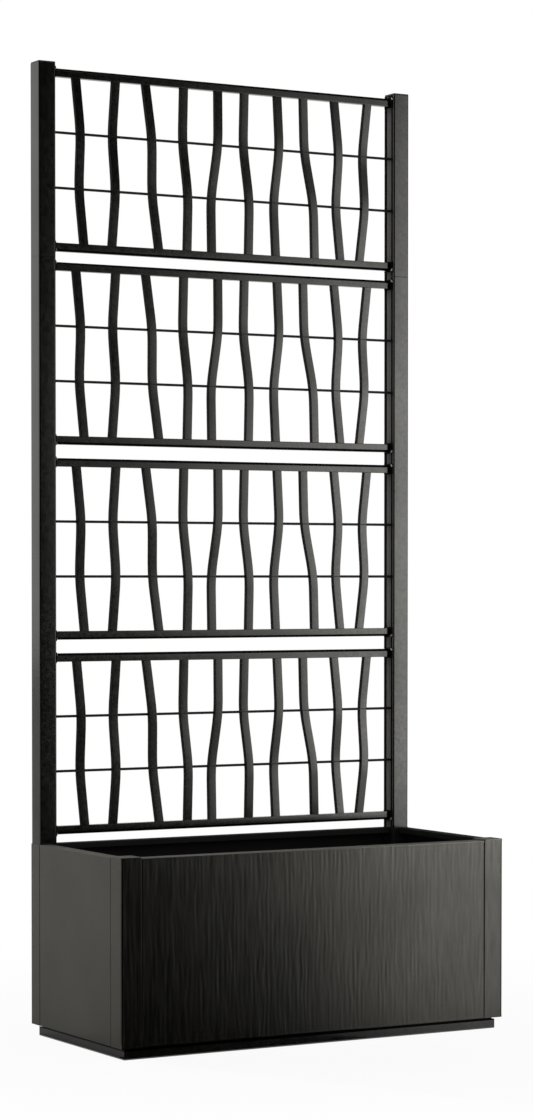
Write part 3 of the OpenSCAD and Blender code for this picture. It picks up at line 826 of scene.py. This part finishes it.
for name, side in (("left", -1), ("right", 1)):
    node = name + "_collars"
    collars = []
    post_face = side * post_inner
    open_face = post_face - side * COLLAR_THICK
    for k in PANELS:
        for place in ("bottom", "top"):
            low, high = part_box("trellis_%d_%s_rail" % (k, place))
            middle = (low + high) / 2
            bpy.ops.object.select_all(action="DESELECT")
            bpy.ops.mesh.primitive_cube_add(size=1, location=((post_face + open_face) / 2, middle.y, middle.z))
            collar = take_shape(node + "_plate", (COLLAR_THICK, COLLAR_DEPTH, COLLAR_HEIGHT))
            edit_piece(collar, "FACE")
            window_y = (high.y - low.y) / 2 + COLLAR_FIT
            window_z = (high.z - low.z) / 2 + COLLAR_FIT
            cut_at(1, [middle.y - window_y, middle.y + window_y])
            cut_at(2, [middle.z - window_z, middle.z + window_z])
            pick_faces(collar, lambda c, n: abs(n.x) > 0.9 and abs(c.y - middle.y) < window_y
                       and abs(c.z - middle.z) < window_z)
            bpy.ops.mesh.bridge_edge_loops()
            round_edges(collar, COLLAR_EDGE, 2, lambda a, b: all(
                near(abs(p.y - middle.y), COLLAR_DEPTH / 2) or near(abs(p.z - middle.z), COLLAR_HEIGHT / 2)
                for p in (a, b)) and near(open_face, a.x, b.x))
            bpy.ops.object.mode_set(mode="OBJECT")
            collars.append(collar)
    plates = joined(node + "_plates", collars)
    give_coats(plates, shade_coat)
    smooth(plates)
    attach(plates, "root")
    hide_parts(node)

# Screws
# Zinc plated pan heads with a socket: small ones in the collars, larger ones in the panels and the floor, and low
# ones in the posts, which lie flush with the corner covers.
HEAD = 0.0055
HEAD_HEIGHT = 0.001
HEAD_SIDES = 24
HEAD_DOME = 0.0003
SOCKET_RIM = 0.00121
SOCKET_DEPTH = 0.0006
SHANK = 0.003
SHANK_LENGTH = 0.005
SCREW_SHIFT = 0.006


def small_screw():
    """A screw with its head's underside at the origin, its head along +Z and its shank along -Z."""
    bpy.ops.object.select_all(action="DESELECT")
    bpy.ops.mesh.primitive_cylinder_add(vertices=HEAD_SIDES, radius=HEAD / 2, depth=HEAD_HEIGHT,
                                        location=(0, 0, HEAD_HEIGHT / 2))
    screw = take_shape("small_screw", (1, 1, 1))
    edit_piece(screw, "EDGE")
    round_edges(screw, HEAD_DOME, 2, lambda a, b: near(HEAD_HEIGHT, a.z, b.z) and (a - b).length < HEAD / 2)
    pick_faces(screw, lambda c, n: n.z > 0.9 and near(c.z, HEAD_HEIGHT))
    bpy.ops.mesh.inset(thickness=SOCKET_RIM)
    extrude_by(0, 0, -SOCKET_DEPTH)
    pick_faces(screw, lambda c, n: n.z < -0.9 and near(c.z, 0))
    bpy.ops.mesh.inset(thickness=(HEAD - SHANK) / 2)
    extrude_by(0, 0, -SHANK_LENGTH)
    bpy.ops.object.mode_set(mode="OBJECT")
    return screw


low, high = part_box("left_upper_post")
land_middle = (high.y - low.y + CHANNEL_WIDTH) / 4
first_screw = small_screw()
screws = []
for k in PANELS:
    for place, outward in (("bottom", -1), ("top", 1)):
        low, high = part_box("trellis_%d_%s_rail" % (k, place))
        middle = (low + high) / 2
        for side in (-1, 1):
            for land in (-1, 1):
                screw = twin(first_screw)
                screw.rotation_euler = Vector((-side, 0, 0)).to_track_quat("Z", "Y").to_euler()
                screw.location = (side * (post_inner - COLLAR_THICK), middle.y + land * land_middle,
                                  middle.z + outward * SCREW_SHIFT)
                screws.append(screw)
bpy.data.objects.remove(first_screw)
screws = joined("collar_screws_set", screws)
give_coats(screws, zinc)
smooth(screws)
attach(screws, "root")
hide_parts("collar_screws")

for node in ("sleeve_screws", "panel_screws", "base_screws"):
    finish_node(node, zinc)

# Studio
# A white ground, with one tall soft light far to the right of the front. The satin faces mirror it and what lies
# round it: black curtains, a floor that is black at the left of the front and grows light to the right, and grey
# cards low at the left rear. So the front goes from black at the left to grey at the right.
GROUND_SIZE = 14
GROUND_GREY = (0.5, 0.5, 0.5, 1)
GROUND_ROUGHNESS = 0.9
SHADOW_SHARE = 0.05
SHADOW_NEAR, SHADOW_FAR = 0.4, 1.4
WHITE = (1, 1, 1, 1)
WORLD_STRENGTH = 0.8
BLACK, FLOOR_BLACK = 0.01, 0.03
# The room's left, right and front, and its height
LEFT, RIGHT, FRONT, CEILING = -3.6, 5.4, -5.5, 5
# Where the floor's cards start, in front of the planter, and where the light part of the floor lies between them
FLOOR_EDGE = -0.15
SHEEN_LEFT, SHEEN_RIGHT = -0.395, 0.97
SHEEN_FAR_LEFT, SHEEN_FAR_RIGHT = 2.14, 4.04
LIFT = 0.001


def show_white(tree, surface, white, share):
    """Mixes a surface with plain white, which the camera, metal and glass see. Other rays see the surface."""
    ray = add_node(tree, "ShaderNodeLightPath").outputs
    seen = ray["Is Camera Ray"]
    for other in (ray["Is Glossy Ray"], ray["Is Transmission Ray"]):
        seen = add_node(tree, "ShaderNodeMath", {0: seen, 1: other}, operation="MAXIMUM").outputs["Value"]
    seen = add_node(tree, "ShaderNodeMath", {0: seen, 1: share}, operation="MULTIPLY").outputs["Value"]
    return add_node(tree, "ShaderNodeMixShader", {0: seen, 1: surface, 2: white}).outputs["Shader"]


floor_material = bpy.data.materials.new("studio_floor")
floor_material.use_nodes = True
tree = floor_material.node_tree
shader = tree.nodes["Principled BSDF"]
shader.inputs["Roughness"].default_value = GROUND_ROUGHNESS
shader.inputs["Base Color"].default_value = GROUND_GREY
white = add_node(tree, "ShaderNodeEmission", {"Color": WHITE, "Strength": 1.0})
# Near the planter a small part of the real floor stays in view, so that its soft shadow is kept
place = add_node(tree, "ShaderNodeTexCoord").outputs["Object"]
reach = add_node(tree, "ShaderNodeVectorMath", {0: place}, operation="LENGTH").outputs["Value"]
share = add_node(tree, "ShaderNodeMapRange", {"Value": reach, "From Min": SHADOW_NEAR, "From Max": SHADOW_FAR,
                                              "To Min": 1 - SHADOW_SHARE, "To Max": 1.0}).outputs["Result"]
tree.links.new(show_white(tree, shader.outputs["BSDF"], white.outputs["Emission"], share),
               tree.nodes["Material Output"].inputs["Surface"])
bpy.ops.object.select_all(action="DESELECT")
bpy.ops.mesh.primitive_plane_add(size=GROUND_SIZE, location=(0, 0, 0))
ground = bpy.context.object
ground.name = "studio_ground"
ground.data.materials.append(floor_material)

world = bpy.data.worlds.new("studio_world")
bpy.context.scene.world = world
world.use_nodes = True
tree = world.node_tree
tree.nodes.clear()
light = add_node(tree, "ShaderNodeBackground", {"Color": WHITE, "Strength": WORLD_STRENGTH})
white = add_node(tree, "ShaderNodeBackground", {"Color": WHITE, "Strength": 1.0})
add_node(tree, "ShaderNodeOutputWorld", {"Surface": show_white(tree, light.outputs["Background"],
                                                                white.outputs["Background"], 1.0)})


def standing(left, right, top, bottom=0):
    """The corners of an upright card over two places on the floor."""
    return [(*place, z) for z in (bottom, top) for place in (left, right)]


def lying(z, *places):
    """The corners of a level card: near left and right, then far left and right."""
    return [(*place, z) for place in places]


def card(name, corners, shade):
    """A matt card by its corners: bottom or near left and right, then top or far left and right. Only the glossy
    coats see it."""
    bpy.ops.object.select_all(action="DESELECT")
    bpy.ops.mesh.primitive_plane_add(size=1)
    sheet = bpy.context.object
    sheet.name = name
    edit_piece(sheet, "VERT")
    mesh = bmesh.from_edit_mesh(sheet.data)
    for vert, corner in zip(mesh.verts, corners):
        vert.co = corner
    bmesh.update_edit_mesh(sheet.data)
    bpy.ops.object.mode_set(mode="OBJECT")
    sheet.visible_camera = sheet.visible_diffuse = sheet.visible_shadow = sheet.visible_transmission = False
    matt = bpy.data.materials.new(name + "_matt")
    matt.use_nodes = True
    shader = matt.node_tree.nodes["Principled BSDF"]
    shader.inputs["Base Color"].default_value = (shade, shade, shade, 1)
    shader.inputs["Roughness"].default_value = 1
    shader.inputs["Specular IOR Level"].default_value = 0
    sheet.data.materials.append(matt)
    return sheet


def profile(tree, value, stops):
    """A strength that follows the stops along a value from 0 to 1."""
    ramp = add_node(tree, "ShaderNodeValToRGB", {"Fac": value})
    for position, level in stops[2:]:
        ramp.color_ramp.elements.new(position)
    for element, (position, level) in zip(ramp.color_ramp.elements, stops):
        element.position = position
        element.color = (level, level, level, 1)
    return ramp.outputs["Color"]


def light_wall(name, corners, across, up, strength):
    """A sheet of soft light with a profile across it and one up it."""
    sheet = card(name, corners, BLACK)
    sheet.visible_diffuse = True
    tree = sheet.active_material.node_tree
    sheet_place = add_node(tree, "ShaderNodeTexCoord").outputs["UV"]
    place = add_node(tree, "ShaderNodeSeparateXYZ", {"Vector": sheet_place}).outputs
    level = add_node(tree, "ShaderNodeMath", {0: profile(tree, place["X"], across),
                                              1: profile(tree, place["Y"], up)}, operation="MULTIPLY")
    level = add_node(tree, "ShaderNodeMath", {0: level.outputs["Value"], 1: strength}, operation="MULTIPLY")
    glow = add_node(tree, "ShaderNodeEmission", {"Color": WHITE, "Strength": level.outputs["Value"]})
    tree.links.new(glow.outputs["Emission"], tree.nodes["Material Output"].inputs["Surface"])


card("curtain_front", standing((LEFT, FRONT), (RIGHT, FRONT), CEILING), BLACK)
card("curtain_left", standing((LEFT, FRONT), (LEFT, -1), CEILING), BLACK)
card("curtain_right", standing((RIGHT, FRONT), (RIGHT, 8), CEILING), 0.06)
card("grey_ceiling", lying(CEILING, (LEFT, FRONT), (RIGHT, FRONT), (LEFT, 2), (RIGHT, 2)), 0.5)
card("black_floor_right", lying(LIFT, (0.5, -0.14), (RIGHT, 4), (3.8, FRONT), (RIGHT, FRONT)), FLOOR_BLACK)
card("black_floor_card", lying(2 * LIFT, (LEFT, FLOOR_EDGE), (SHEEN_LEFT, FLOOR_EDGE), (LEFT, FRONT),
                               (SHEEN_FAR_LEFT, FRONT)), FLOOR_BLACK)
card("black_floor_near", lying(3 * LIFT, (-0.45, FLOOR_EDGE), (0.14, FLOOR_EDGE), (-0.45, -0.34), (-0.06, -0.34)),
     BLACK)
light_wall("floor_sheen", lying(2 * LIFT, (SHEEN_LEFT, FLOOR_EDGE), (SHEEN_RIGHT, FLOOR_EDGE),
                                (SHEEN_FAR_LEFT, FRONT), (SHEEN_FAR_RIGHT, FRONT)),
           ((0, 0), (0.17, 0.04), (0.25, 0.1), (0.32, 0.2), (0.38, 0.34), (0.46, 0.54), (0.54, 0.68), (0.66, 0.84),
            (1, 1)),
           ((0, 0.55), (0.06, 0.78), (0.15, 1), (0.3, 1), (0.5, 0.7), (1, 0.5)), strength=1.0)
card("grey_side_card", standing((-2.6, 0.4), (0.2, 2.4), 0.65), 0.84)
card("grey_side_floor", lying(2 * LIFT, (-0.36, -0.6), (-0.36, 2.4), (-3, -0.6), (-3, 2.4)), 0.52)
light_wall("soft_light", standing((2.27, -4.455), (4.145, -2.8), 2.9),
           ((0, 0), (0.09, 0.04), (0.17, 0.38), (0.26, 0.88), (0.34, 1), (0.55, 1), (0.75, 0.75), (1, 0.7)),
           ((0, 1), (0.1, 0.95), (0.52, 0.95), (0.62, 0.74), (0.74, 0.6), (0.845, 0.48), (0.905, 0.3), (0.97, 0)),
           strength=2.8)
light_wall("soft_light_edge", standing((2.0, -4.4), (2.66, -4.1), 1.9, bottom=0.5),
           ((0, 0), (0.35, 0.45), (1, 1)), ((0, 0), (0.25, 1), (0.7, 1), (1, 0)), strength=1.3)
